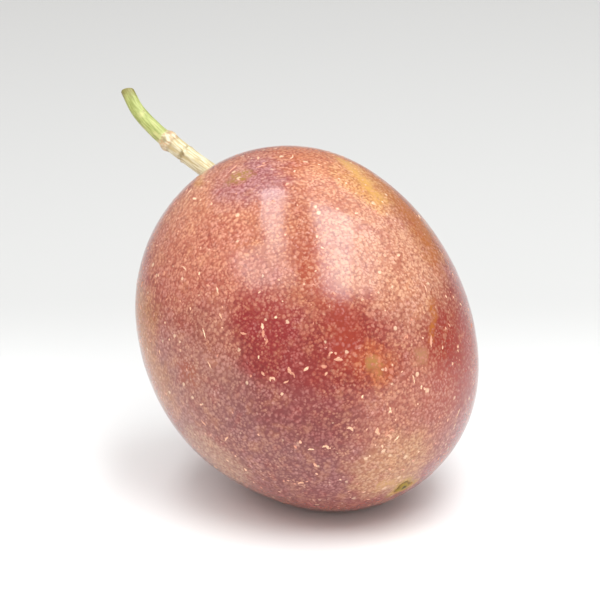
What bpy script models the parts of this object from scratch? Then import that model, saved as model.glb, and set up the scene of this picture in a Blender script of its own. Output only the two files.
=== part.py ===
"""A whole passion fruit with its cut stem, resting on a small flat spot.

Run it with: blender --background --python part.py
Units are metres and +Z is up. The origin is the point of the flat resting spot that lies straight
below the middle of the fruit.

The fruit and the stem are shaped in the fruit's own frame, and an empty then leans that frame:
    +Z  along the fruit's axis, from its blossom end to its stem end
    +X  the side that the stem bends towards
"""

import math

import bmesh
import bpy
from mathutils import Matrix, Vector

MM = 0.001

# Fruit: an ovoid that is a little longer than it is wide.
FRUIT_LENGTH = 73.6 * MM
FRUIT_WIDTH = 62.0 * MM
SEGMENTS = 72
RINGS = 48
RING_CROWDING = 0.7  # 0 spaces the rings evenly, 1 packs them onto the two ends

# The three seed chambers inside push the rind out into three faint lobes, one of them at +X.
LOBE_COUNT = 3
LOBE_HEIGHT = 0.5 * MM

# Slow unevenness of the rind: longitude, latitude and half-width in degrees, then height.
SWELLS = [
    (-52, -18, 26, 2.0 * MM),  # the heavy side, which the fruit settles on
    (-160, -49, 24, 0.7 * MM),
    (165, 42, 24, 0.6 * MM),
    (-13, -38, 22, -0.9 * MM),
    (14, 40, 20, 0.2 * MM),
    (100, 12, 26, -0.3 * MM),
    (60, -34, 22, 0.3 * MM),
]

# Stem end: a shallow basin with a level floor that the stem's foot stands on.
BASIN_DEPTH = 0.8 * MM
BASIN_FLOOR_RADIUS = 2.9 * MM
BASIN_RADIUS = 7.0 * MM

# Blossom end: a small nub that the flower's style leaves, in a faint dimple.
NUB_HEIGHT = 0.5 * MM
NUB_RADIUS = 1.7 * MM
DIMPLE_DEPTH = 0.35 * MM
DIMPLE_RADIUS = 4.0 * MM

# Attitude: the stem end leans back and to the left, and the fruit stands on its flat spot.
LEAN = math.radians(50.0)
LEAN_HEADING = math.radians(130.0)  # from +X towards +Y
TURN_ON_AXIS = math.radians(50.0)
FLAT_SPOT_DEPTH = 1.0 * MM  # above the plain ovoid's lowest point

# Stem: (along the fruit's axis, sideways towards +X), measured from the centre of its foot.
STEM_ROUTE = [(0, 0), (1.8, 0.2), (5.3, 1.5), (10.6, 3.4), (15.0, 4.9), (20.8, 6.0), (26.2, 5.7)]
STEM_STEP = 0.5 * MM
STEM_SIDES_RESOLUTION = 4
FOOT_CLEARANCE = 0.3 * MM

# Stem radius by distance from the foot: a flared foot, a straw-coloured shank with a ring scar,
# a knuckle where it joined the vine's stalk, then the slimmer green stalk up to the cut.
STEM_RADII = [
    (0.0, 2.35),
    (0.5, 2.25),
    (1.5, 1.80),
    (3.0, 1.68),
    (7.4, 1.66),
    (8.0, 1.80),
    (8.6, 1.64),
    (11.4, 1.70),
    (12.7, 1.95),
    (13.6, 1.72),
    (14.6, 1.50),
    (18.5, 1.46),
    (22.5, 1.36),
    (28.5, 1.22),
]


def clear_scene():
    for found in list(bpy.data.objects):
        bpy.data.objects.remove(found)


def make_collection(name):
    collection = bpy.data.collections.new(name)
    bpy.context.scene.collection.children.link(collection)
    return collection


def make_material(name, colour, roughness):
    material = bpy.data.materials.new(name)
    material.use_nodes = True
    shader = material.node_tree.nodes["Principled BSDF"]
    shader.inputs["Base Color"].default_value = (*colour, 1.0)
    shader.inputs["Roughness"].default_value = roughness
    shader.inputs["Metallic"].default_value = 0.0
    return material


def smooth_step(low, high, value):
    share = min(1.0, max(0.0, (value - low) / (high - low)))
    return share * share * (3.0 - 2.0 * share)


def from_angles(longitude, latitude):
    """Unit direction in the fruit's frame, from degrees."""
    turn, rise = math.radians(longitude), math.radians(latitude)
    return Vector((math.cos(turn) * math.cos(rise), math.sin(turn) * math.cos(rise), math.sin(rise)))


def relief(direction):
    """How far the rind stands out from the plain ovoid in this direction."""
    off_axis = math.hypot(direction.x, direction.y)
    longitude = math.atan2(direction.y, direction.x)
    height = LOBE_HEIGHT * math.cos(LOBE_COUNT * longitude) * off_axis**2
    for swell_longitude, swell_latitude, half_width, swell_height in SWELLS:
        apart = direction.angle(from_angles(swell_longitude, swell_latitude))
        height += swell_height * math.exp(-((apart / math.radians(half_width)) ** 2))
    radius = off_axis * FRUIT_WIDTH / 2
    if direction.z > 0:
        height -= BASIN_DEPTH * (1.0 - smooth_step(BASIN_FLOOR_RADIUS, BASIN_RADIUS, radius))
    else:
        height -= DIMPLE_DEPTH * math.exp(-((radius / DIMPLE_RADIUS) ** 2))
        height += NUB_HEIGHT * (1.0 - smooth_step(0.0, NUB_RADIUS, radius))
    return height


def rind_point(direction):
    across, along = FRUIT_WIDTH / 2, FRUIT_LENGTH / 2
    on_ovoid = Vector((direction.x * across, direction.y * across, direction.z * along))
    outwards = Vector((direction.x / across, direction.y / across, direction.z / along)).normalized()
    return on_ovoid + outwards * relief(direction)


def crowd_to_ends(direction):
    """Moves a ring of the sphere nearer its pole, so that the basin and the nub get finer faces."""
    polar = math.acos(max(-1.0, min(1.0, direction.z)))
    crowded = polar - RING_CROWDING * math.sin(2.0 * polar) / 2.0
    turn = math.atan2(direction.y, direction.x)
    return Vector((math.sin(crowded) * math.cos(turn), math.sin(crowded) * math.sin(turn), math.cos(crowded)))


def make_fruit(collection, frame):
    mesh = bpy.data.meshes.new("fruit")
    shape = bmesh.new()
    bmesh.ops.create_uvsphere(shape, u_segments=SEGMENTS, v_segments=RINGS, radius=1.0)
    for vertex in shape.verts:
        vertex.co = rind_point(crowd_to_ends(vertex.co.normalized()))
    shape.to_mesh(mesh)
    shape.free()
    mesh.shade_smooth()
    mesh.materials.append(make_material("rind", (0.46, 0.10, 0.08), 0.42))
    fruit = bpy.data.objects.new("fruit", mesh)
    collection.objects.link(fruit)
    fruit.parent = frame
    return fruit


def cut_flat_spot(fruit, collection):
    """Takes everything below z = 0 off the fruit."""
    bpy.ops.mesh.primitive_cube_add(size=FRUIT_LENGTH, location=(0, 0, -FRUIT_LENGTH / 2))
    cutter = bpy.context.active_object
    cutter.name = "flat_spot_cutter"
    cutter.hide_render = True
    cutter.display_type = "WIRE"
    for holder in list(cutter.users_collection):
        holder.objects.unlink(cutter)
    collection.objects.link(cutter)
    cut = fruit.modifiers.new("flat spot", "BOOLEAN")
    cut.operation = "DIFFERENCE"
    cut.object = cutter


def stem_points():
    """Points every STEM_STEP or so along a smooth curve through STEM_ROUTE, in the fruit's frame."""
    foot = rind_point(Vector((0, 0, 1))).z + FOOT_CLEARANCE
    route = [Vector((aside * MM, 0, foot + along * MM)) for along, aside in STEM_ROUTE]
    before = route[0] - (route[1] - route[0])
    after = route[-1] + (route[-1] - route[-2])
    held = [before, *route, after]
    points = [route[0]]
    for p0, p1, p2, p3 in zip(held, held[1:], held[2:], held[3:]):
        count = max(1, round((p2 - p1).length / STEM_STEP))
        for step in range(1, count + 1):
            t = step / count
            points.append(
                0.5 * (2 * p1 + (p2 - p0) * t + (2 * p0 - 5 * p1 + 4 * p2 - p3) * t**2
                       + (3 * p1 - p0 - 3 * p2 + p3) * t**3)
            )
    return points


def stem_radius(distance):
    for (start, start_radius), (end, end_radius) in zip(STEM_RADII, STEM_RADII[1:]):
        if distance <= end * MM:
            share = (distance / MM - start) / (end - start)
            return (start_radius + (end_radius - start_radius) * share) * MM
    return STEM_RADII[-1][1] * MM


def make_stem(collection, frame):
    points = stem_points()
    curve = bpy.data.curves.new("stem", "CURVE")
    curve.dimensions = "3D"
    curve.bevel_depth = 1.0
    curve.bevel_resolution = STEM_SIDES_RESOLUTION
    curve.use_fill_caps = True
    line = curve.splines.new("POLY")
    line.points.add(len(points) - 1)
    distance = 0.0
    for index, point in enumerate(points):
        if index:
            distance += (point - points[index - 1]).length
        line.points[index].co = (*point, 1.0)
        line.points[index].radius = stem_radius(distance)
    line.use_smooth = True
    curve.materials.append(make_material("stem", (0.55, 0.60, 0.22), 0.6))
    stem = bpy.data.objects.new("stem", curve)
    collection.objects.link(stem)
    stem.parent = frame
    return stem


def make_leaning_frame(collection):
    """The empty that the fruit and its stem hang on, with its middle straight above the origin."""
    turned = (
        Matrix.Rotation(LEAN_HEADING, 3, "Z")
        @ Matrix.Rotation(LEAN, 3, "Y")
        @ Matrix.Rotation(TURN_ON_AXIS, 3, "Z")
    )
    half_height = math.hypot(FRUIT_LENGTH / 2 * math.cos(LEAN), FRUIT_WIDTH / 2 * math.sin(LEAN))
    frame = bpy.data.objects.new("fruit_axis", None)
    collection.objects.link(frame)
    frame.rotation_euler = turned.to_euler()
    frame.location = (0, 0, half_height - FLAT_SPOT_DEPTH)
    return frame


def main():
    clear_scene()
    parts = make_collection("passion_fruit")
    cutters = make_collection("cutters")
    frame = make_leaning_frame(parts)
    fruit = make_fruit(parts, frame)
    cut_flat_spot(fruit, cutters)
    make_stem(parts, frame)


main()
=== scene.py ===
"""The looks of a whole passion fruit with its cut stem, resting on its small flat spot.

Sizes are in metres unless a name says otherwise. The rind, its marks and the stem are shaped in the fruit's
own frame, with +Z from the blossom end to the stem end, and then leaned over as the CAD part leans them.
Longitude is counted from that frame's +X, the side that the stem bends towards.
"""

import math
import random

import bmesh
import bpy
import numpy as np
from mathutils import Matrix, Vector, noise


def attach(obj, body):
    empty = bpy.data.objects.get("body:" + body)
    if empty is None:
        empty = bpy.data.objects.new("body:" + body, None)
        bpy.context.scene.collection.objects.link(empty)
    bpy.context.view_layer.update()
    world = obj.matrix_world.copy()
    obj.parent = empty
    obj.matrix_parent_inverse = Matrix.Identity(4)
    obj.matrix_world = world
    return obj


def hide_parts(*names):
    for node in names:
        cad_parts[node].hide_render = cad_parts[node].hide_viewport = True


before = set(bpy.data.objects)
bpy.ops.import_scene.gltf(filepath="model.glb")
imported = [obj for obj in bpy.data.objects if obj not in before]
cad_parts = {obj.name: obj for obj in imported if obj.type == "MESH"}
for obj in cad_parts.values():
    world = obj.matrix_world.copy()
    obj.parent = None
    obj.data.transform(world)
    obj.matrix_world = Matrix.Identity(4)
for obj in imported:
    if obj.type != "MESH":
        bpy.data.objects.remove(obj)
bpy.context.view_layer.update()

MM = 0.001

# The same driving dimensions as the CAD part.
FRUIT_LENGTH = 73.6 * MM
FRUIT_WIDTH = 62.0 * MM
HALF_AXES = np.array([FRUIT_WIDTH / 2, FRUIT_WIDTH / 2, FRUIT_LENGTH / 2])
LOBE_COUNT = 3
LOBE_HEIGHT = 0.5 * MM
# Longitude, latitude and half width in degrees, then height.
SWELLS = [
    (-52, -18, 26, 2.0 * MM),
    (-160, -49, 24, 0.7 * MM),
    (165, 42, 24, 0.6 * MM),
    (-13, -38, 22, -0.9 * MM),
    (14, 40, 20, 0.2 * MM),
    (100, 12, 26, -0.3 * MM),
    (60, -34, 22, 0.3 * MM),
]
BASIN_DEPTH = 0.8 * MM
BASIN_FLOOR_RADIUS = 2.9 * MM
BASIN_RADIUS = 7.0 * MM
NUB_HEIGHT = 0.5 * MM
NUB_RADIUS = 1.7 * MM
DIMPLE_DEPTH = 0.35 * MM
DIMPLE_RADIUS = 4.0 * MM
LEAN = math.radians(50.0)
LEAN_HEADING = math.radians(130.0)
TURN_ON_AXIS = math.radians(50.0)
FLAT_SPOT_DEPTH = 1.0 * MM
# Along the fruit's axis and sideways towards +X, from the centre of the stem's foot.
STEM_ROUTE_MM = [(0, 0), (1.8, 0.2), (5.3, 1.5), (10.6, 3.4), (15.0, 4.9), (20.8, 6.0), (26.2, 5.7)]
# Distance from the stem's foot, then radius.
STEM_RADII_MM = [
    (0.0, 2.35), (0.5, 2.25), (1.5, 1.80), (3.0, 1.68), (7.4, 1.66), (8.0, 1.80), (8.6, 1.64),
    (11.4, 1.70), (12.7, 1.95), (13.6, 1.72), (14.6, 1.50), (18.5, 1.46), (22.5, 1.36), (28.5, 1.22),
]
FOOT_CLEARANCE = 0.3 * MM

# The fine mesh of the rind.
SEGMENTS = 352
RINGS = 278
RING_CROWDING = 0.45  # 0 spaces the rings evenly, 1 packs them onto the two ends
SKIN_INSET = 0.06 * MM  # keeps the fine mesh inside the box of the faceted one
FLAT_SPOT_ROUNDING = 0.45 * MM
RIPPLE_SIZE = 9.0 * MM
RIPPLE_HEIGHT = 0.035 * MM

# Fractal noise: each octave has features half as large as the last and, with that step, half as high.
NOISE_FALL = 1.0
NOISE_STEP = 2.0
SEED_STEPS = (17.3, 5.1, 9.7)  # each seed takes its noise from another place

# The stem end: creases run outwards from the stem's foot, which has a low collar of rind round it.
SOFT_BASIN_RADIUS = 9.5 * MM  # the basin's rim is rounder and less even than the CAD part's
SOFT_BASIN_UNEVENNESS = 0.16
SOFT_BASIN_NOISE_SIZE = 14.0 * MM
CREASE_COUNT = 13
CREASE_DEPTH = 0.11 * MM
CREASE_LEVEL = 0.7  # share of a crease's depth that is below the skin
CREASES_BEGIN = (2.2 * MM, 3.4 * MM)  # distances from the axis over which the creases deepen
CREASES_END = (3.8 * MM, 7.5 * MM)  # and over which they fade out again
CREASE_WANDER = 0.7  # radians
CREASE_WANDER_SIZE = 4.0 * MM
CREASE_STRENGTH = 0.6
CREASE_STRENGTH_RANGE = (0.1, 1.2)
CREASE_STRENGTH_SIZE = 3.0 * MM
COLLAR_HEIGHT = 0.30 * MM
COLLAR_RADIUS = 3.1 * MM
COLLAR_WIDTH = 0.9 * MM

# The scar that the flower's style left at the blossom end. Pairs are in radii of the scar.
SCAR_RADIUS = 1.45 * MM
# Waves of its outline: how many all round, where they start in radians, and share of the radius.
SCAR_WAVES = [(3, 0.6, 0.20), (5, 1.0, 0.06)]
SCAR_RIM_HEIGHT = 0.16 * MM
SCAR_RIM = (0.72, 0.22)  # middle and width
SCAR_MOAT = (1.12, 0.10)  # middle and width
SCAR_PIT_DEPTH = 0.30 * MM
SCAR_PIT = (0.15, 0.60)  # full depth inside the first, level outside the second
FAR_FROM_SCAR = 30.0


# -------- geometry of the fruit


def smooth_step(low, high, value):
    share = np.clip((value - low) / (high - low), 0.0, 1.0)
    return share * share * (3.0 - 2.0 * share)


def bell(value, middle, width):
    """A smooth bump: 1 at the middle, and close to 0 two widths away from it."""
    return np.exp(-(((value - middle) / width) ** 2))


def from_angles(longitude, latitude):
    """Unit directions in the fruit's frame, from degrees."""
    turn, rise = np.radians(longitude), np.radians(latitude)
    return np.stack([np.cos(turn) * np.cos(rise), np.sin(turn) * np.cos(rise), np.sin(rise)], axis=-1)


def unit(vectors):
    return vectors / np.linalg.norm(vectors, axis=1)[:, None]


def longitudes(directions):
    return np.arctan2(directions[:, 1], directions[:, 0])


def axis_distances(directions):
    """How far the plain ovoid's points in these directions lie from the fruit's axis."""
    return np.hypot(directions[:, 0], directions[:, 1]) * FRUIT_WIDTH / 2


def rough(points, size, octaves, seed):
    """Fractal noise, about -1 to 1, at points in metres. Its largest features are about size across."""
    offset = Vector([seed * step for step in SEED_STEPS])
    places = [Vector(point) / size + offset for point in points]
    return np.array([noise.fractal(place, NOISE_FALL, NOISE_STEP, octaves) for place in places])


def coarse_relief(directions):
    """The CAD part's own relief: how far the rind stands out from the plain ovoid."""
    off_axis = np.hypot(directions[:, 0], directions[:, 1])
    height = LOBE_HEIGHT * np.cos(LOBE_COUNT * longitudes(directions)) * off_axis**2
    for swell_longitude, swell_latitude, half_width, swell_height in SWELLS:
        cosine = np.clip(directions @ from_angles(swell_longitude, swell_latitude), -1.0, 1.0)
        height += swell_height * bell(np.arccos(cosine), 0.0, math.radians(half_width))
    radius = axis_distances(directions)
    basin = BASIN_DEPTH * (1.0 - smooth_step(BASIN_FLOOR_RADIUS, BASIN_RADIUS, radius))
    dimple = DIMPLE_DEPTH * bell(radius, 0.0, DIMPLE_RADIUS)
    nub = NUB_HEIGHT * (1.0 - smooth_step(0.0, NUB_RADIUS, radius))
    return height - np.where(directions[:, 2] > 0, basin, dimple - nub)


def stem_end_relief(points, radius, longitude):
    """Creases and a collar round the stem's foot, and a rounder rim for the basin."""
    wander = CREASE_WANDER * rough(points, CREASE_WANDER_SIZE, octaves=2, seed=2)
    folds = np.abs(np.cos(CREASE_COUNT * longitude / 2 + wander)) - CREASE_LEVEL
    strength = CREASE_STRENGTH + rough(points, CREASE_STRENGTH_SIZE, octaves=2, seed=3)
    reach = smooth_step(*CREASES_BEGIN, radius) * (1.0 - smooth_step(*CREASES_END, radius))
    creases = CREASE_DEPTH * reach * np.clip(strength, *CREASE_STRENGTH_RANGE) * folds
    collar = COLLAR_HEIGHT * bell(radius, COLLAR_RADIUS, COLLAR_WIDTH)
    uneven = 1.0 + SOFT_BASIN_UNEVENNESS * rough(points, SOFT_BASIN_NOISE_SIZE, octaves=2, seed=6)
    cad_basin = smooth_step(BASIN_FLOOR_RADIUS, BASIN_RADIUS, radius)
    soft_basin = smooth_step(BASIN_FLOOR_RADIUS, SOFT_BASIN_RADIUS * uneven, radius)
    return creases + collar + BASIN_DEPTH * (soft_basin - cad_basin)


def scar_radius(longitude):
    """The three-sided outline of the scar at the blossom end."""
    waves = (share * np.cos(count * longitude + start) for count, start, share in SCAR_WAVES)
    return SCAR_RADIUS * sum(waves, 1.0)


def blossom_end_relief(radius, longitude):
    """The scar: a pit, the rim round it, and a narrow moat round that."""
    share = radius / scar_radius(longitude)
    pit = 1.0 - smooth_step(*SCAR_PIT, share)
    return SCAR_RIM_HEIGHT * (bell(share, *SCAR_RIM) - bell(share, *SCAR_MOAT)) - SCAR_PIT_DEPTH * pit


def fine_relief(directions):
    """What is added to the CAD part's relief: ripples all over, and finer forms at the two ends."""
    points = directions * HALF_AXES
    radius, longitude = axis_distances(directions), longitudes(directions)
    ripples = RIPPLE_HEIGHT * rough(points, RIPPLE_SIZE, octaves=3, seed=1)
    stem_end = stem_end_relief(points, radius, longitude)
    return ripples + np.where(directions[:, 2] > 0, stem_end, blossom_end_relief(radius, longitude))


def rind_points(directions, lift=0.0):
    """Points of the rind in the fruit's frame, raised by lift."""
    height = coarse_relief(directions) + fine_relief(directions) - SKIN_INSET + lift
    return directions * HALF_AXES + unit(directions / HALF_AXES) * height[:, None]


def leaning_matrix():
    """The CAD part's own attitude: the fruit's frame in the world."""
    half_height = math.hypot(FRUIT_LENGTH / 2 * math.cos(LEAN), FRUIT_WIDTH / 2 * math.sin(LEAN))
    turned = (
        Matrix.Rotation(LEAN_HEADING, 4, "Z")
        @ Matrix.Rotation(LEAN, 4, "Y")
        @ Matrix.Rotation(TURN_ON_AXIS, 4, "Z")
    )
    return Matrix.Translation((0, 0, half_height - FLAT_SPOT_DEPTH)) @ turned


LEANING = leaning_matrix()


def to_world(points):
    turned = np.array(LEANING.to_3x3())
    return points @ turned.T + np.array(LEANING.translation)


def settle(points):
    """Flattens what would lie below the floor, with a soft edge to the flat spot."""
    heights = points[:, 2]
    points[:, 2] = (heights + np.sqrt(heights**2 + FLAT_SPOT_ROUNDING**2)) / 2
    return points


def ring_faces(rings, sides):
    """Four-sided faces that join each ring of points to the next."""
    faces = []
    for start in range(0, (rings - 1) * sides, sides):
        for side in range(sides):
            after = (side + 1) % sides
            faces.append((start + side, start + after, start + sides + after, start + sides + side))
    return faces


def store_vectors(mesh, name, vectors):
    attribute = mesh.attributes.new(name, "FLOAT_VECTOR", "POINT")
    attribute.data.foreach_set("vector", np.ascontiguousarray(vectors, dtype=np.float32).ravel())


def link_piece(mesh, name, material, replaced=None):
    mesh.materials.append(material)
    mesh.shade_smooth()
    piece = bpy.data.objects.new(name, mesh)
    bpy.context.scene.collection.objects.link(piece)
    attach(piece, "root")
    if replaced:
        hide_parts(replaced)


# -------- the rind


def crowd_to_ends(directions):
    """Moves a sphere's rings nearer its poles, so that the basin and the scar get finer faces."""
    polar = np.arccos(np.clip(directions[:, 2], -1.0, 1.0))
    polar -= RING_CROWDING * np.sin(2.0 * polar) / 2.0
    turn = longitudes(directions)
    return np.stack([np.sin(polar) * np.cos(turn), np.sin(polar) * np.sin(turn), np.cos(polar)], axis=1)


def scar_shares(directions):
    """Distances from the blossom end in radii of the scar, three alike for each direction."""
    share = axis_distances(directions) / scar_radius(longitudes(directions))
    share = np.where(directions[:, 2] < 0, share, FAR_FROM_SCAR)
    return np.stack([share, share, share], axis=1)


def make_rind(material):
    mesh = bpy.data.meshes.new("rind")
    shape = bmesh.new()
    bmesh.ops.create_uvsphere(shape, u_segments=SEGMENTS, v_segments=RINGS, radius=1.0)
    shape.to_mesh(mesh)
    shape.free()
    sphere = np.zeros(len(mesh.vertices) * 3)
    mesh.vertices.foreach_get("co", sphere)
    directions = crowd_to_ends(sphere.reshape(-1, 3))
    mesh.vertices.foreach_set("co", settle(to_world(rind_points(directions))).ravel())
    store_vectors(mesh, "rind_direction", directions)
    store_vectors(mesh, "rind_place_mm", directions * HALF_AXES / MM)
    store_vectors(mesh, "scar_share", scar_shares(directions))
    link_piece(mesh, "rind", material, "fruit")


# -------- corky marks and lenticels on the rind


# Pale scabs and scratches on the side that faces forwards: longitude, latitude and heading in degrees,
# length in millimetres, curl in degrees, and width in millimetres.
SCRATCHES = [
    (70, -23, 60, 1.8, 210, 0.67),
    (72, -25, -30, 1.2, 55, 0.50),
    (68, -20, 100, 1.0, 0, 0.67),
    (75, -13, 20, 1.2, 85, 0.62),
    (96, -29, 140, 1.7, 30, 0.84),
    (92, -26, 30, 1.0, 0, 0.56),
    (83, -50, 70, 1.6, 85, 0.73),
    (95, -56, 120, 1.7, -55, 1.18),
    (97, -58, 30, 1.3, 85, 0.90),
    (99, -60, 40, 2.0, 180, 0.78),
    (104, -58, 100, 1.4, 70, 0.67),
    (102, -61, 0, 1.3, 30, 0.62),
    (66, -50, 30, 1.7, 170, 0.84),
    (61, -47, 120, 1.2, 30, 0.62),
    (33, -25, 30, 1.6, -85, 0.62),
    (62, 22, 100, 1.8, 30, 0.39),
    (70, 8, 80, 1.6, 15, 0.56),
    (57, 0, 70, 2.1, -30, 0.39),
    (52, -8, 75, 1.7, 35, 0.39),
    (98, 49, 20, 2.9, 40, 0.62),
    (110, 43, -20, 2.1, -40, 0.56),
    (125, 40, 10, 2.6, 20, 0.50),
    (135, -36, 95, 2.3, -5, 0.78),
    (122, -45, 80, 1.7, 15, 0.50),
    (140, -20, 85, 2.0, 15, 0.45),
]
STRAY_SCRATCHES = 60
STRAY_SEED = 11
STRAY_HIGHEST = 0.9  # sine of the highest latitude
STRAY_LENGTHS_MM = (0.6, 1.6)
STRAY_WIDTHS_MM = (0.45, 0.95)
STRAY_HEADINGS = (80, 35)  # mean and spread in degrees
STRAY_CURLS = (0, 45)  # mean and spread in degrees

# How far marks stand out from the rind. Their edges are sunk into it.
MARK_EDGE = -0.03 * MM
SCRATCH_RISE = 0.06 * MM
SCRATCH_LIFTS = [MARK_EDGE, 0.6 * SCRATCH_RISE, SCRATCH_RISE, 0.6 * SCRATCH_RISE, MARK_EDGE]
SCRATCH_STEP = 0.17 * MM
SCRATCH_FEWEST_STEPS = 6
SCRATCH_NARROWEST = 0.10
SCRATCH_TAPER = 0.7  # the lower, the blunter the ends
SCRATCH_SIDES = (0.6, 1.3)  # each side's reach, as a share of the half width
SCRATCH_WOBBLE = (-0.22, 0.22)  # radians per step

LENTICELS = 420
LENTICEL_RISE = 0.035 * MM
LENTICEL_SIDES = 10
LENTICEL_HIGHEST = 0.985  # sine of the highest latitude
LENTICEL_RADII_MM = (0.18, 0.36)
LENTICEL_SIZES = [1.0, 1.0, 1.0, 1.35]  # one in four is larger
LENTICEL_STRETCHES = (1.0, 2.0)
LENTICEL_BULGE = 0.15
LENTICEL_CORNERS = 0.13
LENTICEL_STARTS = (0, 6.3)  # a full turn
LENTICEL_RINGS = [(1.0, MARK_EDGE), (0.5, 0.7 * LENTICEL_RISE)]  # share of the radius, then lift
MARK_SEED = 5


def step_on_rind(direction, east, north):
    """Directions a few millimetres east and north of one direction, along the rind."""
    latitude = math.asin(direction[2])
    longitude = math.atan2(direction[1], direction[0])
    per_north = math.hypot(HALF_AXES[0] * math.sin(latitude), HALF_AXES[2] * math.cos(latitude))
    per_east = HALF_AXES[0] * math.cos(latitude)
    return from_angles(np.degrees(longitude + east / per_east), np.degrees(latitude + north / per_north))


def drawn_direction(draw, highest):
    """A direction drawn evenly over the rind, up to the latitudes whose sine is highest."""
    return from_angles(draw.uniform(0, 360), math.degrees(math.asin(draw.uniform(-highest, highest))))


def all_scratches():
    """Direction, heading, length, curl and width of each scratch, first those in SCRATCHES."""
    scratches = []
    for longitude, latitude, heading, length_mm, curl, width_mm in SCRATCHES:
        scratches.append((from_angles(longitude, latitude), heading, length_mm * MM, curl, width_mm * MM))
    draw = random.Random(STRAY_SEED)
    for _ in range(STRAY_SCRATCHES):
        direction = drawn_direction(draw, STRAY_HIGHEST)
        length = draw.uniform(*STRAY_LENGTHS_MM) * MM
        heading, curl = draw.gauss(*STRAY_HEADINGS), draw.gauss(*STRAY_CURLS)
        scratches.append((direction, heading, length, curl, draw.uniform(*STRAY_WIDTHS_MM) * MM))
    return scratches


def scratch_ribbon(direction, heading, length, curl, width, seed):
    """A tapering, wandering ribbon with uneven sides: its directions, the lift of each, and its faces."""
    draw = random.Random(seed)
    steps = max(SCRATCH_FEWEST_STEPS, int(length / SCRATCH_STEP))
    heading = math.radians(heading)
    east = north = 0.0
    directions, lifts, faces = [], [], []
    for step in range(steps + 1):
        half = width / 2 * max(SCRATCH_NARROWEST, math.sin(math.pi * (step / steps)) ** SCRATCH_TAPER)
        right, left = half * draw.uniform(*SCRATCH_SIDES), half * draw.uniform(*SCRATCH_SIDES)
        offsets = np.array([-right, -0.5 * right, 0.0, 0.5 * left, left])
        across_east, across_north = -math.sin(heading) * offsets, math.cos(heading) * offsets
        directions.extend(step_on_rind(direction, east + across_east, north + across_north))
        lifts.extend(SCRATCH_LIFTS)
        east += math.cos(heading) * length / steps
        north += math.sin(heading) * length / steps
        heading += math.radians(curl) / steps + draw.uniform(*SCRATCH_WOBBLE)
    columns = len(SCRATCH_LIFTS)
    for step in range(steps):
        for column in range(columns - 1):
            corner = step * columns + column
            faces.append((corner, corner + columns, corner + columns + 1, corner + 1))
    return directions, lifts, faces


def lenticel_dome(draw):
    """A low dome with an uneven outline: its directions, the lift of each, and its faces."""
    direction = drawn_direction(draw, LENTICEL_HIGHEST)
    radius = draw.uniform(*LENTICEL_RADII_MM) * MM * draw.choice(LENTICEL_SIZES)
    stretch, tilt = draw.uniform(*LENTICEL_STRETCHES), draw.uniform(0, math.pi)
    start_bulge, start_corner = draw.uniform(*LENTICEL_STARTS), draw.uniform(*LENTICEL_STARTS)
    directions, lifts = [], []
    for size, lift in LENTICEL_RINGS:
        for side in range(LENTICEL_SIDES):
            turn = 2 * math.pi * side / LENTICEL_SIDES
            bulge = LENTICEL_BULGE * math.sin(2 * turn + start_bulge)
            corner = LENTICEL_CORNERS * math.sin(3 * turn + start_corner)
            reach = radius * size * (1.0 + bulge + corner)
            along, aside = reach * stretch * math.cos(turn), reach * math.sin(turn)
            east = along * math.cos(tilt) - aside * math.sin(tilt)
            north = along * math.sin(tilt) + aside * math.cos(tilt)
            directions.append(step_on_rind(direction, east, north))
            lifts.append(lift)
    directions.append(direction)
    lifts.append(LENTICEL_RISE)
    faces = ring_faces(len(LENTICEL_RINGS), LENTICEL_SIDES)
    top = len(LENTICEL_RINGS) * LENTICEL_SIDES
    inner = top - LENTICEL_SIDES
    for side in range(LENTICEL_SIDES):
        faces.append((inner + side, inner + (side + 1) % LENTICEL_SIDES, top))
    return directions, lifts, faces


def make_marks(material):
    """One mesh of raised corky marks: ribbons for scratches, and low domes for lenticels."""
    draw = random.Random(MARK_SEED)
    marks = []
    for seed, scratch in enumerate(all_scratches()):
        marks.append((*scratch_ribbon(*scratch, seed), draw.random()))
    for _ in range(LENTICELS):
        marks.append((*lenticel_dome(draw), draw.random()))
    directions, lifts, tones, faces = [], [], [], []
    for mark_directions, mark_lifts, mark_faces, tone in marks:
        start = len(lifts)
        directions.extend(mark_directions)
        lifts.extend(mark_lifts)
        tones.extend([tone] * len(mark_lifts))
        faces.extend([start + corner for corner in face] for face in mark_faces)
    directions, lifts = np.array(directions), np.array(lifts)
    mesh = bpy.data.meshes.new("corky_marks")
    mesh.from_pydata(settle(to_world(rind_points(directions, lifts))).tolist(), [], faces)
    store_vectors(mesh, "rind_place_mm", directions * HALF_AXES / MM)
    rise = (lifts - MARK_EDGE) / (SCRATCH_RISE - MARK_EDGE)
    store_vectors(mesh, "mark_rise_tone", np.stack([rise, np.array(tones), np.zeros_like(rise)], axis=1))
    link_piece(mesh, "corky_marks", material)


# -------- the stem


# The fine mesh of the stem.
STEM_SIDES = 64
STEM_STEP = 0.12 * MM
FOOT_SINK = 0.9 * MM
FOOT_SINK_SHARES = (1.0, 0.75, 0.5, 0.25)
RADIUS_SMOOTHING = 3  # steps to either side that the radii are averaged over
RIB_HEIGHT = 0.020 * MM
SHANK_RIB_HEIGHT = 0.035 * MM  # what the ribs have more on the shank, up to the knuckle
SHANK_FADE = 2.0 * MM
# Ribs all round, shift of their wave per millimetre and at the foot in radians, and share of height.
RIBS = [(7, 0.10, 0.0, 1.0), (11, -0.13, 1.0, 0.6)]
FOOT_LOBES = 5
FOOT_LOBES_START = 0.7
FOOT_LOBE_HEIGHT = 0.22 * MM
FOOT_LOBE_REACH = 1.1 * MM
LUMP_HEIGHT = 0.030 * MM
LUMP_SIZE = 1.2 * MM
LUMP_STRETCH = (1.0, 1.0, 0.45)

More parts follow.
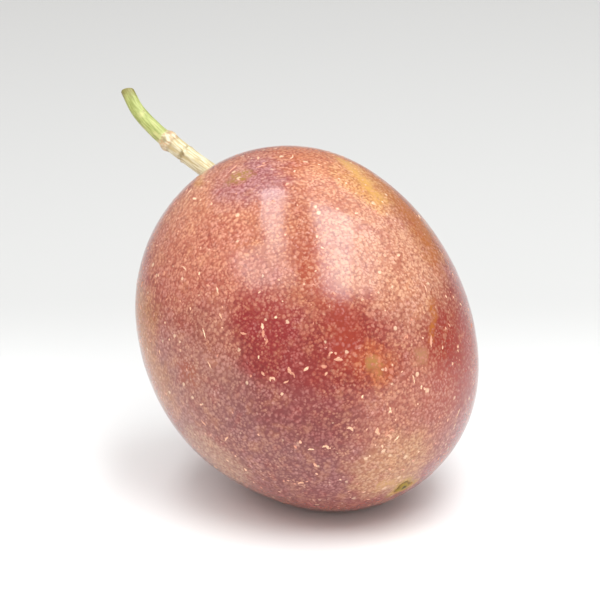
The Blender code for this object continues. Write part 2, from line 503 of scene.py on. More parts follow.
# The ring scar is a lip, then a groove: place along the stem from the scar, width, and height.
RING_SCAR_AT = 8.0 * MM
RING_SCAR_FORMS = [(0.0, 0.25 * MM, 0.08 * MM), (0.42 * MM, 0.22 * MM, -0.20 * MM)]
RING_SCAR_FACES = 2.4  # radians, to the side where it is strongest
RING_SCAR_LEAST = 0.10  # its strength on the far side, as a share of that

# The knuckle is a groove where the green stalk starts, and two swellings: place along the stem from the
# knuckle, half length, height, and the angle that each faces in radians.
KNUCKLE_AT = 12.7 * MM
KNUCKLE_SWELLINGS = [(-0.2 * MM, 0.9 * MM, 0.16 * MM, 3.0), (0.6 * MM, 0.8 * MM, 0.12 * MM, 0.2)]
KNUCKLE_GROOVE_BEHIND = 1.3 * MM
KNUCKLE_GROOVE_WIDTH = 0.3 * MM
KNUCKLE_GROOVE_DEPTH = 0.10 * MM

# The stem's cut end.
CUT_SLANT = math.radians(16.0)
CUT_SLANT_REACH = 3.0 * MM
CUT_ROUNDING = 0.35 * MM
CUT_NARROWING = 0.14  # share of its radius that the stem loses in the rounding
# Rings of the cut's face: share of the stem's radius, then depth.
CUT_RINGS = [(0.80, 0.02 * MM), (0.66, 0.10 * MM), (0.45, 0.13 * MM), (0.22, 0.16 * MM), (0.08, 0.22 * MM)]
CUT_PLACE_STEP = 1.0 * MM  # moves the cut's face along in the stem's material, clear of the skin
CUT_PLACE_MM = (28.05, 28.25)  # where the material passes from the skin to the cut


def stem_centreline():
    """The CAD stem's route in small steps, sunk into the rind at the foot, and distances from the foot."""
    foot = FRUIT_LENGTH / 2 + coarse_relief(np.array([[0.0, 0.0, 1.0]]))[0] + FOOT_CLEARANCE
    route = [Vector((aside * MM, 0, foot + along * MM)) for along, aside in STEM_ROUTE_MM]
    held = [2 * route[0] - route[1], *route, 2 * route[-1] - route[-2]]
    points = [route[0]]
    for p0, p1, p2, p3 in zip(held, held[1:], held[2:], held[3:]):
        count = max(1, round((p2 - p1).length / STEM_STEP))
        for step in range(1, count + 1):
            t = step / count
            points.append(
                0.5 * (2 * p1 + (p2 - p0) * t + (2 * p0 - 5 * p1 + 4 * p2 - p3) * t**2
                       + (3 * p1 - p0 - 3 * p2 + p3) * t**3)
            )
    sunk = [route[0] - Vector((0, 0, FOOT_SINK * share)) for share in FOOT_SINK_SHARES]
    line = np.array([*sunk, *points])
    steps = np.linalg.norm(np.diff(line, axis=0), axis=1)
    return line, np.concatenate([[0.0], np.cumsum(steps)]) - FOOT_SINK


def smooth_radii(distance):
    """The CAD stem's radii, with their corners rounded off."""
    at, radius = np.array(STEM_RADII_MM).T * MM
    window = np.hanning(2 * RADIUS_SMOOTHING + 1)
    padded = np.pad(np.interp(distance, at, radius), RADIUS_SMOOTHING, mode="edge")
    return np.convolve(padded, window / window.sum(), mode="valid")


def rib_relief(s, angle):
    """Fine ribs that turn slowly round the stem. In all these reliefs, s is the distance from its foot."""
    height = RIB_HEIGHT + SHANK_RIB_HEIGHT * (1.0 - smooth_step(KNUCKLE_AT, KNUCKLE_AT + SHANK_FADE, s))
    ribs = sum(share * np.cos(count * angle + s / MM * shift + start) for count, shift, start, share in RIBS)
    return height * ribs


def foot_relief(s, angle):
    """Broad lobes where the foot flares out, gone a few millimetres up the stem."""
    lobes = np.cos(FOOT_LOBES * angle + FOOT_LOBES_START)
    return FOOT_LOBE_HEIGHT * lobes * np.exp(-np.clip(s, 0.0, None) / FOOT_LOBE_REACH)


def ring_scar_relief(s, angle):
    forms = sum(height * bell(s, RING_SCAR_AT + place, width) for place, width, height in RING_SCAR_FORMS)
    facing = 0.5 + 0.5 * np.cos(angle - RING_SCAR_FACES)
    return forms * (RING_SCAR_LEAST + (1.0 - RING_SCAR_LEAST) * facing)


def knuckle_relief(s, angle):
    relief = -KNUCKLE_GROOVE_DEPTH * bell(s, KNUCKLE_AT + KNUCKLE_GROOVE_BEHIND, KNUCKLE_GROOVE_WIDTH)
    for place, half_length, height, faces in KNUCKLE_SWELLINGS:
        side = np.clip(np.cos(angle - faces), 0, 1)
        relief = relief + height * side * bell(s, KNUCKLE_AT + place, half_length)
    return relief


def stem_radii(distance, angles):
    """The stem's radius at each distance from its foot, in a row for all the angles."""
    s, angle = distance[:, None], angles[None, :]
    reliefs = (rib_relief, foot_relief, ring_scar_relief, knuckle_relief)
    relief = sum(form(s, angle) for form in reliefs)
    past_edge = np.clip(1.0 - (distance[-1] - s) / CUT_ROUNDING, 0.0, 1.0)
    rounded = np.sqrt(1.0 - past_edge**2)
    return (smooth_radii(distance)[:, None] + relief) * (1.0 - CUT_NARROWING * (1.0 - rounded))


def close_with_cut(rings, places, outwards):
    """Adds the smaller rings of the cut's hollowed face inside the last ring."""
    edge, edge_place = rings[-1], places[-1]
    middle = edge.mean(axis=0)
    cut_rings = [middle + (edge - middle) * share - outwards * depth for share, depth in CUT_RINGS]
    cut_places = [edge_place * [share, share, 1.0] + [0.0, 0.0, CUT_PLACE_STEP] for share, _ in CUT_RINGS]
    return np.concatenate([rings, cut_rings]), np.concatenate([places, cut_places])


def stem_rings(line, distance):
    """Rings of points round the line, slanting towards the cut, and their places in the stem's material."""
    angles = np.linspace(0, 2 * math.pi, STEM_SIDES, endpoint=False)
    radii = stem_radii(distance, angles)
    tangents = unit(np.gradient(line, axis=0))
    across = np.array([0.0, 1.0, 0.0])
    inwards = np.cross(tangents, across)
    towards, aside = np.cos(angles) * radii, np.sin(angles) * radii
    length = distance[-1]
    slant = smooth_step(length - CUT_SLANT_REACH, length, distance)[:, None] * math.tan(CUT_SLANT)
    back = slant * (radii.max(axis=1, keepdims=True) + towards)
    sideways = towards[:, :, None] * inwards[:, None] + aside[:, :, None] * across
    rings = line[:, None] + sideways - back[:, :, None] * tangents[:, None]
    places = np.stack([towards, aside, np.broadcast_to(distance[:, None], radii.shape)], axis=2)
    return close_with_cut(rings, places, tangents[-1])


def make_stem(material):
    rings, places = stem_rings(*stem_centreline())
    places = places.reshape(-1, 3)
    outwards = unit((rings - rings.mean(axis=1, keepdims=True)).reshape(-1, 3))
    lumps = LUMP_HEIGHT * rough(places * LUMP_STRETCH, LUMP_SIZE, octaves=3, seed=4)
    points = rings.reshape(-1, 3) + outwards * lumps[:, None]
    faces = ring_faces(len(rings), STEM_SIDES)
    corners = list(range(len(points)))
    faces += [corners[-STEM_SIDES:], corners[:STEM_SIDES][::-1]]
    mesh = bpy.data.meshes.new("stem_fine")
    mesh.from_pydata(to_world(points).tolist(), [], faces)
    store_vectors(mesh, "stem_place_mm", places / MM)
    link_piece(mesh, "stem_fine", material, "stem")


# -------- material graphs


def linear(colour):
    """A colour by its 0 to 255 screen values, as the shader's linear values. A socket stays as it is."""
    if isinstance(colour, bpy.types.NodeSocket):
        return colour
    values = [channel / 255 for channel in colour]
    return (*[v / 12.92 if v <= 0.04045 else ((v + 0.055) / 1.055) ** 2.4 for v in values], 1.0)


SMALLEST_DOT = 0.35  # radius of the smallest dots, as a share of what is asked for
DAPPLE_CORE = 0.20  # radius of the full middle of a dapple, as a share of the whole
FAINTEST_DAPPLE = 0.35


class Graph:
    """Adds shader nodes to one material or world, its owner, and joins them."""

    def __init__(self, owner, shader="Principled BSDF"):
        owner.use_nodes = True
        self.owner = owner
        self.tree = owner.node_tree
        self.shader = self.tree.nodes[shader]

    def feed(self, node, sockets):
        """Links or sets the node's sockets, by name or number."""
        for key, value in sockets.items():
            if isinstance(value, bpy.types.NodeSocket):
                self.tree.links.new(value, node.inputs[key])
            else:
                node.inputs[key].default_value = value

    def node(self, kind, sockets, **settings):
        made = self.tree.nodes.new(kind)
        for key, value in settings.items():
            setattr(made, key, value)
        self.feed(made, sockets)
        return made

    def attribute(self, name):
        return self.node("ShaderNodeAttribute", {}, attribute_name=name).outputs["Vector"]

    def axis(self, vector, name):
        return self.node("ShaderNodeSeparateXYZ", {"Vector": vector}).outputs[name]

    def maths(self, operation, first, second=0.0):
        return self.node("ShaderNodeMath", {0: first, 1: second}, operation=operation).outputs[0]

    def plus(self, first, second):
        return self.maths("ADD", first, second)

    def minus(self, first, second):
        return self.maths("SUBTRACT", first, second)

    def times(self, first, second):
        return self.maths("MULTIPLY", first, second)

    def weighed(self, *pairs):
        """The sum of values, each given with its weight."""
        total = self.times(*pairs[0])
        for value, weight in pairs[1:]:
            total = self.plus(total, self.times(value, weight))
        return total

    def vectors(self, operation, first, second=(0.0, 0.0, 0.0), output="Vector"):
        made = self.node("ShaderNodeVectorMath", {0: first, 1: second}, operation=operation)
        return made.outputs[output]

    def stretched(self, place, scales):
        return self.vectors("MULTIPLY", place, scales)

    def facing(self, direction, other):
        """The cosine of the angle between two directions, the second one the same all over."""
        return self.vectors("DOT_PRODUCT", direction, tuple(other), output="Value")

    def noise(self, place, size, detail=2.0, roughness=0.5, output="Fac"):
        """Noise from 0 to 1 whose features are about size across, in the unit of place."""
        sockets = {"Vector": place, "Scale": 1.0 / size, "Detail": detail, "Roughness": roughness}
        return self.node("ShaderNodeTexNoise", sockets).outputs[output]

    def pushed(self, vector, place, size, detail, reach):
        """The vector, pushed about by noise that is laid by place, by up to about half of reach."""
        push = self.vectors("SUBTRACT", self.noise(place, size, detail, output="Color"), (0.5, 0.5, 0.5))
        return self.vectors("ADD", vector, self.stretched(push, (reach, reach, reach)))

    def ragged(self, value, rough_value, reach):
        """The value, moved up or down by up to half of reach where the rough value is over or under 0.5."""
        return self.plus(value, self.times(self.minus(rough_value, 0.5), reach))

    def between(self, value, low, high, start=0.0, end=1.0):
        """start below low, end above high, with a smooth step between. low may be above high."""
        sockets = {"Value": value, "From Min": low, "From Max": high, "To Min": start, "To Max": end}
        return self.node("ShaderNodeMapRange", sockets, interpolation_type="SMOOTHSTEP").outputs["Result"]

    def band(self, value, middle, half_width, full_width, strength):
        """strength where the value is within full_width of the middle, and 0 past half_width."""
        apart = self.maths("ABSOLUTE", self.minus(value, middle))
        return self.between(apart, half_width, full_width, end=strength)

    def mix(self, share, first, second, blend="MIX"):
        """Two colours mixed. The Mix node's colours are its inputs 6 and 7 and its output 2."""
        sockets = {0: share, 6: linear(first), 7: linear(second)}
        return self.node("ShaderNodeMix", sockets, data_type="RGBA", blend_type=blend).outputs[2]

    def lay(self, colour, tint, value, low, high, strength=1.0):
        """The tint over a colour: none of it where the value is low, and strength of it where it is high."""
        return self.mix(self.between(value, low, high, end=strength), colour, tint)

    def cells(self, place, spacing):
        """Voronoi cells: how far the nearest seed is, in spacings, and a random value for each cell."""
        made = self.node("ShaderNodeTexVoronoi", {"Vector": place, "Scale": 1.0 / spacing})
        parts = self.node("ShaderNodeSeparateColor", {"Color": made.outputs["Color"]})
        return made.outputs["Distance"], parts.outputs[0]

    def dots(self, place, spacing, radius, softness):
        """Round dots of uneven size, one in each cell: 1 in a dot, 0 outside."""
        apart, drawn = self.cells(place, spacing)
        rim = self.plus(self.times(drawn, radius / spacing), SMALLEST_DOT * radius / spacing)
        return self.between(self.minus(rim, apart), 0.0, softness / spacing)

    def dapples(self, place, spacing, radius):
        """A close pattern of soft spots, each of its own strength, that almost touch."""
        apart, drawn = self.cells(place, spacing)
        inside = self.between(apart, radius / spacing, DAPPLE_CORE * radius / spacing)
        return self.times(inside, self.between(drawn, 0.0, 1.0, FAINTEST_DAPPLE, 1.0))

    def finished(self, height, strength, distance, sockets):
        """The owner, with its bump and its shader's sockets in place."""
        bump = self.node("ShaderNodeBump", {"Height": height, "Strength": strength, "Distance": distance})
        self.feed(self.shader, {**sockets, "Normal": bump.outputs["Normal"]})
        return self.owner


# -------- the rind's material


# Coloured zones of the rind: longitude, latitude, the degrees out to which a zone is full and where it ends,
# its colour by its screen values, and its strength. Later zones lie over earlier ones.
ZONES = [
    # The side away from the light: wine red, with tawny patches.
    (-95, 15, 20, 62, (112, 36, 48), 0.85),
    (-25, 30, 12, 40, (168, 76, 54), 0.70),
    (-60, -45, 10, 38, (134, 64, 62), 0.70),
    (-140, -25, 14, 44, (144, 50, 44), 0.80),
    (-150, 35, 10, 34, (172, 100, 58), 0.70),
    # The forward side: tan and mauve by the stem, gold and pale tan on the right shoulder, salmon on the
    # left, ochre and red on the right rim, deeper than the rind's own as painted shade at that rim, dusty
    # mauve low on the left, with a pale grey patch of bloom and painted sheen at its rim and ochre on the
    # rim over it that is partly the rind's colour and partly painted rim light, and pale orange and yellow
    # round the blossom end.
    (84, 38, 12, 40, (206, 144, 110), 0.80),
    (110, 36, 7, 22, (155, 103, 114), 0.75),
    (141, 38, 8, 24, (194, 116, 68), 0.85),
    (131, 21, 6, 20, (208, 148, 112), 0.80),
    (64, 12, 12, 38, (185, 111, 89), 0.75),
    (108, 6, 8, 28, (180, 112, 78), 0.80),
    (136, -8, 10, 32, (202, 150, 118), 0.85),
    (146, 20, 3, 17, (204, 152, 84), 0.80),
    # Ochre and red on the right rim, deeper than the rind's own as painted shade at that rim.
    (158, 2, 4, 17, (158, 86, 2), 0.90),
    (156, -40, 8, 28, (126, 22, 2), 0.85),
    (38, -20, 14, 44, (150, 98, 84), 0.80),
    (48, -44, 10, 36, (130, 72, 74), 0.80),
    # A pale grey patch at the lower left rim: partly bloom, partly painted sheen.
    (14, -24, 5, 17, (182, 148, 122), 0.75),
    # Ochre on the left rim: partly the rind's colour, partly painted rim light.
    (25, 24, 3, 17, (170, 106, 30), 0.75),
    (20, 4, 2, 14, (170, 106, 30), 0.60),
    (114, -56, 8, 30, (178, 110, 86), 0.80),
    (92, -74, 6, 20, (194, 150, 108), 0.85),
    # The crimson flush in the middle, with an orange-red patch and a tan spot on its right.
    (78, -31, 8, 27, (124, 28, 26), 0.90),
    (75, -12, 7, 16, (136, 20, 20), 0.95),
    (98, -26, 5, 20, (140, 26, 2), 0.90),
    (106, -34, 2, 8, (182, 94, 44), 0.75),
]
# Patches that lie over the speckles too, in the same columns: olive by the stem, two of crimson and one of
# orange-red in the middle, red low on the right rim, deeper than the rind's own as painted shade at that
# rim, and then three small spots.
PATCHES = [
    (102, 44, 1.5, 6.0, (154, 118, 42), 0.80),
    (80, -8, 3.0, 13.0, (134, 16, 16), 0.64),
    (78, -27, 2.0, 14.0, (134, 26, 20), 0.38),
    (100, -28, 1.0, 9.0, (146, 34, 4), 0.66),
    # Red low on the right rim, deeper than the rind's own as painted shade at that rim.
    (157, -41, 1.0, 27.0, (150, 34, 6), 0.78),
    (42, -3, 0.5, 7.5, (146, 60, 18), 0.80),
    (127, -39, 0.5, 5.0, (184, 144, 96), 0.45),
    (106, -35, 0.2, 3.4, (168, 134, 66), 0.56),
]
# Streaks between two directions: longitude and latitude of each end of a streak, the degrees to each side
# out to which it is full and where it ends, its colour, and its strength.
STREAKS = [
    # Ochre on the left rim: partly the rind's colour, partly painted rim light.
    ((28, 40), (20, -2), 0.5, 13.5, (164, 100, 6), 0.42),
    # Ochre along the right rim, deeper than the rind's own as painted shade at that rim.
    ((160, 50), (154, -14), 1.0, 9.0, (168, 88, 2), 0.92),
    ((149, 39), (144, 11), 0.3, 5.3, (216, 166, 80), 0.72),
    ((143, -21), (135, -36), 0.5, 2.9, (168, 92, 18), 0.90),
    ((103, 8), (100, -30), 1.5, 9.5, (148, 46, 12), 0.62),
    ((58, -74), (82, -82), 0.5, 4.5, (210, 166, 96), 0.55),
]
STREAK_ENDS = (1.25, 0.4)  # where streaks end and where they are full, in half lengths from the middle
# Rings of colour about the blossom end: where a ring begins and where it is full, in radii of the scar, its
# colour, and its strength. A yellow surround, a thin brown edge over the moat that is partly the scar's
# colour and partly a painted shadow line, the olive scar and its dark pit.
SCAR_RINGS = [
    (2.80, 1.20, (188, 149, 42), 0.65),
    # The thin brown edge: partly the scar's colour, partly a painted shadow line in the moat.
    (1.32, 1.10, (104, 72, 22), 0.85),
    (1.05, 0.85, (152, 124, 32), 0.95),
    (0.55, 0.30, (70, 50, 16), 0.90),
]
ZONE_WANDER = 0.16
PATCH_WANDER = 0.11
SLOW_WANDER_SIZE_MM = 9.0
FINE_WANDER_SIZE_MM = 2.6

BRICK_GROUND = (156, 74, 62)
WINE_GROUND = (140, 64, 66)
RED_BLOTCH = (150, 40, 34)
TAN_BLOTCH = (206, 146, 104)
RED_GRAIN = (112, 28, 26)
SPECKLE_NET = (212, 162, 148)
CREAMY_SPECKLE = (236, 178, 136)
PINK_SPECKLE = (230, 168, 152)
LARGE_SPECKLE = (240, 206, 170)
SPECKLE_SEE_THROUGH = 0.41  # how much of the skin's own colour a speckle keeps
TAN_COLLAR = (176, 128, 74)
COLLAR_COSINES = (0.985, 0.9955)  # of the angles where the collar begins and where it is full
SKIN_ROUGHNESS = (0.13, 0.21)  # where the bloom is thin, and where it is thick
SPECKLE_ROUGHNESS = 0.10  # more on the middling speckles
SCAR_ROUGHNESS = 0.4  # more on the scar


def wandering_direction(graph, direction, place, wander):
    """The direction in the fruit's frame, pushed about by slow and fine noise, so that edges wander."""
    shifted = graph.pushed(direction, place, SLOW_WANDER_SIZE_MM, detail=3.0, reach=2 * wander)
    shifted = graph.pushed(shifted, place, FINE_WANDER_SIZE_MM, detail=2.0, reach=wander)
    return graph.vectors("NORMALIZE", shifted)


def lay_zones(graph, colour, direction, zones, cover=1.0):
    for longitude, latitude, full, end, tint, strength in zones:
        facing = graph.facing(direction, from_angles(longitude, latitude))
        edges = math.cos(math.radians(end)), math.cos(math.radians(full))
        share = graph.between(facing, *edges, end=strength)
        colour = graph.mix(graph.times(share, cover), colour, tint)
    return colour


def lay_streaks(graph, colour, direction, streaks, cover):
    for first_angles, last_angles, full, end, tint, strength in streaks:
        first, last = Vector(from_angles(*first_angles)), Vector(from_angles(*last_angles))
        aside = graph.maths("ABSOLUTE", graph.facing(direction, first.cross(last).normalized()))
        within = graph.between(aside, math.radians(end), math.radians(full), end=strength)
        ends = [math.cos(first.angle(last) / 2 * share) for share in STREAK_ENDS]
        reach = graph.between(graph.facing(direction, (first + last).normalized()), *ends)
        colour = graph.mix(graph.times(graph.times(within, reach), cover), colour, tint)
    return colour


def lay_ground(graph, direction, place, grain):
    """The zones, blotches a few millimetres across, and a grain of deeper red."""
    slow = graph.noise(place, size=22.0, detail=3.0)
    colour = graph.lay(BRICK_GROUND, WINE_GROUND, slow, 0.35, 0.68)
    colour = lay_zones(graph, colour, wandering_direction(graph, direction, place, ZONE_WANDER), ZONES)
    blotch = graph.noise(place, size=3.2, detail=4.0, roughness=0.6)
    colour = graph.lay(colour, RED_BLOTCH, blotch, 0.52, 0.68, 0.35)
    colour = graph.lay(colour, TAN_BLOTCH, blotch, 0.47, 0.32, 0.30)
    return graph.lay(colour, RED_GRAIN, grain, 0.52, 0.36, 0.45)


def speckle_masks(graph, place):
    """Where the speckles are: fine ones that almost touch, at two spacings, then middling and large ones."""
    uneven = graph.pushed(place, place, size=0.6, detail=2.0, reach=0.60)
    close_set = graph.dapples(uneven, spacing=0.54, radius=0.37)
    wide_set = graph.dapples(uneven, spacing=0.82, radius=0.54)
    wide_share = graph.between(graph.noise(place, size=2.2), 0.40, 0.64)
    fine = graph.weighed((wide_set, wide_share), (close_set, graph.minus(1.0, wide_share)))
    middling = graph.dots(uneven, spacing=1.05, radius=0.27, softness=0.14)
    large = graph.dots(uneven, spacing=3.2, radius=0.42, softness=0.18)
    return fine, middling, large


def lay_speckles(graph, ground, place, fine, middling):
    """Pale speckles over a deeper net. The bloom makes some of them pinker and some of them creamier."""
    netted = graph.mix(graph.between(fine, 0.35, 0.0, end=0.65), ground, SPECKLE_NET, "MULTIPLY")
    tint = graph.lay(CREAMY_SPECKLE, PINK_SPECKLE, graph.noise(place, size=5.0), 0.40, 0.62)
    tint = graph.mix(SPECKLE_SEE_THROUGH, tint, ground)
    patchy = graph.between(graph.noise(place, size=6.5, detail=3.0), 0.30, 0.62, 0.6, 1.0)
    colour = graph.mix(graph.times(fine, graph.times(patchy, 0.58)), netted, tint)
    return graph.mix(graph.times(middling, graph.times(patchy, 0.45)), colour, tint)


def make_rind_material():
    graph = Graph(bpy.data.materials.new("rind_skin"))
    direction = graph.attribute("rind_direction")
    place = graph.attribute("rind_place_mm")
    grain = graph.noise(place, size=0.60, detail=3.0, roughness=0.6)
    fine, middling, large = speckle_masks(graph, place)
    colour = lay_ground(graph, direction, place, grain)
    colour = lay_speckles(graph, colour, place, fine, middling)

    # Patches and streaks show most between the speckles.
    cover = graph.between(graph.plus(fine, graph.times(grain, 0.5)), 0.1, 0.8, 1.0, 0.1)
    gently = wandering_direction(graph, direction, place, PATCH_WANDER)
    colour = lay_zones(graph, colour, gently, PATCHES, cover)
    colour = lay_streaks(graph, colour, gently, STREAKS, cover)
    colour = graph.mix(graph.times(large, 0.55), colour, LARGE_SPECKLE)

    scar_share = graph.ragged(graph.axis(graph.attribute("scar_share"), "X"), grain, 0.5)
    for begins, full, tint, strength in SCAR_RINGS:
        colour = graph.lay(colour, tint, scar_share, begins, full, strength)
    to_stem = graph.facing(direction, (0.0, 0.0, 1.0))
    colour = graph.lay(colour, TAN_COLLAR, to_stem, *COLLAR_COSINES, 0.65)

    bloom = graph.noise(place, size=4.5, detail=3.0)
    roughness = graph.between(bloom, 0.35, 0.65, *SKIN_ROUGHNESS)
    roughness = graph.plus(roughness, graph.times(middling, SPECKLE_ROUGHNESS))
    roughness = graph.plus(roughness, graph.between(scar_share, 1.6, 1.1, end=SCAR_ROUGHNESS))

    # Speckles stand a little proud of a skin with a fine orange-peel grain.
    height = graph.weighed((middling, 0.6), (fine, 0.6), (large, 0.8), (grain, 0.5))
    return graph.finished(height, strength=0.45, distance=0.035 * MM, sockets={
        "Base Color": colour,
        "Roughness": roughness,
        "Coat Weight": 0.12,
        "Coat Roughness": 0.12,
        "Subsurface Weight": 0.10,
        "Subsurface Radius": (0.0022, 0.0009, 0.0006),
    })


# -------- the marks' material


PALE_CORK = (244, 210, 172)
PINK_CORK = (228, 180, 146)
CORK_SPECK = (196, 128, 96)
OLD_CORK = (194, 118, 92)
# Brown at the marks' sunk edges: partly cork, partly painted shadow round the raised marks.
CORK_EDGE_AND_SHADOW = (176, 92, 70)


def make_cork_material():
    """Pale cork, specked, darker on some marks than on others, and blended into the rind at the edges
    through a brown that is partly painted shadow.
    """
    graph = Graph(bpy.data.materials.new("corky_skin"))
    place = graph.attribute("rind_place_mm")
    rise_tone = graph.attribute("mark_rise_tone")
    speck = graph.noise(place, size=0.35, detail=3.0, roughness=0.6)
    colour = graph.lay(PALE_CORK, PINK_CORK, graph.noise(place, size=7.0), 0.42, 0.60)
    colour = graph.lay(colour, CORK_SPECK, speck, 0.54, 0.36, 0.7)
    colour = graph.lay(colour, OLD_CORK, graph.axis(rise_tone, "Y"), 0.25, 1.0, 0.85)
    rise = graph.ragged(graph.axis(rise_tone, "X"), speck, 0.5)
    # The marks' edges turn brown: partly cork, partly painted shadow round the raised marks.
    colour = graph.lay(colour, CORK_EDGE_AND_SHADOW, rise, 0.70, 0.36)
    sockets = {"Base Color": colour, "Roughness": 0.55}
    return graph.finished(speck, strength=0.5, distance=0.03 * MM, sockets=sockets)


# -------- the stem's material


DARK_STRAW = (182, 160, 114)
PALE_STRAW = (222, 212, 178)
DARK_GREEN = (136, 141, 68)
PALE_GREEN = (180, 184, 110)
GREEN_BLOTCH = (204, 192, 134)
BROWN_TIP = (120, 104, 50)
STEM_MARK = (128, 104, 56)
TAN_FOOT = (204, 152, 112)
PINK_KNUCKLE = (206, 150, 118)
STEM_SPECK = (134, 104, 62)
PITH = (226, 204, 158)
PITH_RING = (150, 118, 72)
GREEN_FROM_MM = (12.9, 14.6)
BROWNER_FROM_MM = (23.0, 27.4)
# Brown-olive marks in the ring scar and the knuckle: distance from the foot, half width, and strength.
STEM_MARKS_MM = [(8.35, 0.6, 0.85), (13.2, 0.8, 0.7), (11.6, 0.5, 0.4)]


def lay_stem_marks(graph, colour, along, blotch, fibre):
    """Brown-olive marks, a tan foot and a pinkish knuckle."""
    blotchy = graph.between(blotch, 0.38, 0.56)
    for middle, half_width, strength in STEM_MARKS_MM:
        band = graph.band(along, middle, half_width, 0.15 * half_width, strength)
        colour = graph.mix(graph.times(band, blotchy), colour, STEM_MARK)
    colour = graph.lay(colour, TAN_FOOT, along, 2.0, 0.2, 0.7)
    knuckle = graph.band(along, KNUCKLE_AT / MM, half_width=1.6, full_width=0.4, strength=0.6)
    return graph.mix(graph.times(knuckle, graph.between(fibre, 0.56, 0.40)), colour, PINK_KNUCKLE)


def lay_cut(graph, colour, place):
    """The cut end: a pale pith inside a browner ring."""
    flat_place = graph.stretched(place, (1.0, 1.0, 0.0))
    radius = graph.vectors("LENGTH", flat_place, output="Value")
    pith = graph.lay(PITH, PITH_RING, radius, 0.55, 0.85)
    return graph.lay(colour, pith, graph.axis(place, "Z"), *CUT_PLACE_MM)


def make_stem_material():
    graph = Graph(bpy.data.materials.new("stem_skin"))
    place = graph.attribute("stem_place_mm")
    fibre = graph.noise(graph.stretched(place, (1.0, 1.0, 0.10)), size=0.30, detail=3.0, roughness=0.6)
    blotch = graph.noise(graph.stretched(place, (1.0, 1.0, 0.45)), size=1.6, detail=3.0)
    specks = graph.dots(graph.stretched(place, (1.0, 1.0, 0.5)), spacing=0.9, radius=0.12, softness=0.06)
    along = graph.ragged(graph.axis(place, "Z"), blotch, 2.4)

    straw = graph.lay(DARK_STRAW, PALE_STRAW, fibre, 0.38, 0.64)
    green = graph.lay(DARK_GREEN, PALE_GREEN, fibre, 0.36, 0.66)
    green = graph.lay(green, GREEN_BLOTCH, blotch, 0.50, 0.70, 0.6)
    colour = graph.lay(straw, green, along, *GREEN_FROM_MM)
    colour = graph.lay(colour, BROWN_TIP, along, *BROWNER_FROM_MM, 0.8)
    colour = lay_stem_marks(graph, colour, along, blotch, fibre)
    colour = graph.mix(graph.times(specks, 0.6), colour, STEM_SPECK)
    colour = lay_cut(graph, colour, place)
    height = graph.weighed((fibre, 0.7), (specks, 0.4))
    return graph.finished(height, strength=0.6, distance=0.08 * MM, sockets={
        "Base Color": colour,
        "Roughness": graph.between(fibre, 0.3, 0.7, 0.62, 0.48),
        "Subsurface Weight": 0.08,
        "Subsurface Radius": (0.0010, 0.0009, 0.0004),
    })


# -------- studio


FLOOR_SIZE = 6.0
FLOOR_FADE = (-0.02, 0.11)  # the paper darkens a little from front to back
PAPER = (244, 240, 236)
PALER_PAPER = (248, 244, 240)
FAR_PAPER = (196, 192, 188)
CAMERA_ELEVATION = math.radians(20.0)
CAMERA_DISTANCE = 0.6
CAMERA_LENS_MM = 188.4
CAMERA_CLIP_START = 0.05
LOOK_ASIDE = -1.34 * MM
LOOK_ABOVE = 5.57 * MM
LIGHT_HEIGHT = 0.6
PANEL_COLOUR = (0.88, 0.95, 1.0)
WORLD_COLOUR = (0.98, 0.99, 1.0, 1.0)
FRONT_BRIGHTNESS = 1.10
BACK_BRIGHTNESS = 0.35

# Soft panels overhead, where the highlights on the rind show them: centre to the side and towards the back,
# width, depth, turn in degrees, and brightness.
PANELS = [
    ("left_strip", -0.182, 0.045, 0.14, 0.47, -10.6, 5.9),
    ("left_front", -0.420, -0.305, 0.52, 0.33, 0.0, 3.2),
    ("right_main", 0.160, -0.185, 0.24, 0.69, 0.0, 6.5),
    ("right_soft", 0.390, -0.115, 0.22, 0.63, 0.0, 2.6),
    ("right_wide", 0.330, 0.130, 0.58, 0.92, 0.0, 0.8),
]


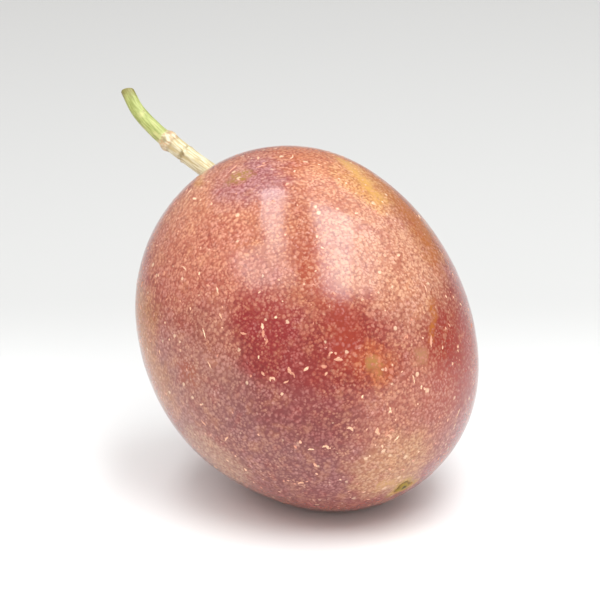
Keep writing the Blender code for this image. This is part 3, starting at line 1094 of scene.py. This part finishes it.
def make_floor():
    bpy.ops.mesh.primitive_plane_add(size=FLOOR_SIZE)
    floor = bpy.context.active_object
    floor.name = "floor"
    graph = Graph(bpy.data.materials.new("pale_floor"))
    place = graph.node("ShaderNodeTexCoord", {}).outputs["Object"]
    paper = graph.mix(graph.noise(place, size=0.4), PAPER, PALER_PAPER)
    paper = graph.lay(paper, FAR_PAPER, graph.axis(place, "Y"), *FLOOR_FADE)
    graph.feed(graph.shader, {"Base Color": paper, "Roughness": 0.6})
    floor.data.materials.append(graph.owner)


def make_panels():
    for name, aside, backwards, width, depth, turn, brightness in PANELS:
        light = bpy.data.lights.new(name, "AREA")
        light.shape = "RECTANGLE"
        light.size = width
        light.size_y = depth
        light.energy = brightness * math.pi * width * depth
        light.color = PANEL_COLOUR
        panel = bpy.data.objects.new(name, light)
        panel.location = (aside, backwards, LEANING.translation.z + LIGHT_HEIGHT)
        panel.rotation_euler.z = math.radians(turn)
        bpy.context.scene.collection.objects.link(panel)


def make_world():
    """Even light from all round, brighter from in front than from behind."""
    graph = Graph(bpy.data.worlds.new("studio"), "Background")
    backwards = graph.axis(graph.node("ShaderNodeTexCoord", {}).outputs["Generated"], "Y")
    sockets = {"Value": backwards, "From Min": -1.0, "To Min": FRONT_BRIGHTNESS, "To Max": BACK_BRIGHTNESS}
    brightness = graph.node("ShaderNodeMapRange", sockets).outputs["Result"]
    graph.feed(graph.shader, {"Color": WORLD_COLOUR, "Strength": brightness})
    bpy.context.scene.world = graph.owner


def make_camera():
    camera_data = bpy.data.cameras.new("camera")
    camera_data.lens = CAMERA_LENS_MM
    camera_data.clip_start = CAMERA_CLIP_START
    camera = bpy.data.objects.new("camera", camera_data)
    bpy.context.scene.collection.objects.link(camera)
    camera.rotation_euler.x = math.pi / 2 - CAMERA_ELEVATION
    offset = Vector((LOOK_ASIDE, LOOK_ABOVE, CAMERA_DISTANCE))
    camera.location = LEANING.translation + camera.rotation_euler.to_matrix() @ offset
    bpy.context.scene.camera = camera


make_rind(make_rind_material())
make_marks(make_cork_material())
make_stem(make_stem_material())
make_floor()
make_panels()
make_world()
make_camera()
bpy.context.scene.view_settings.view_transform = "Standard"
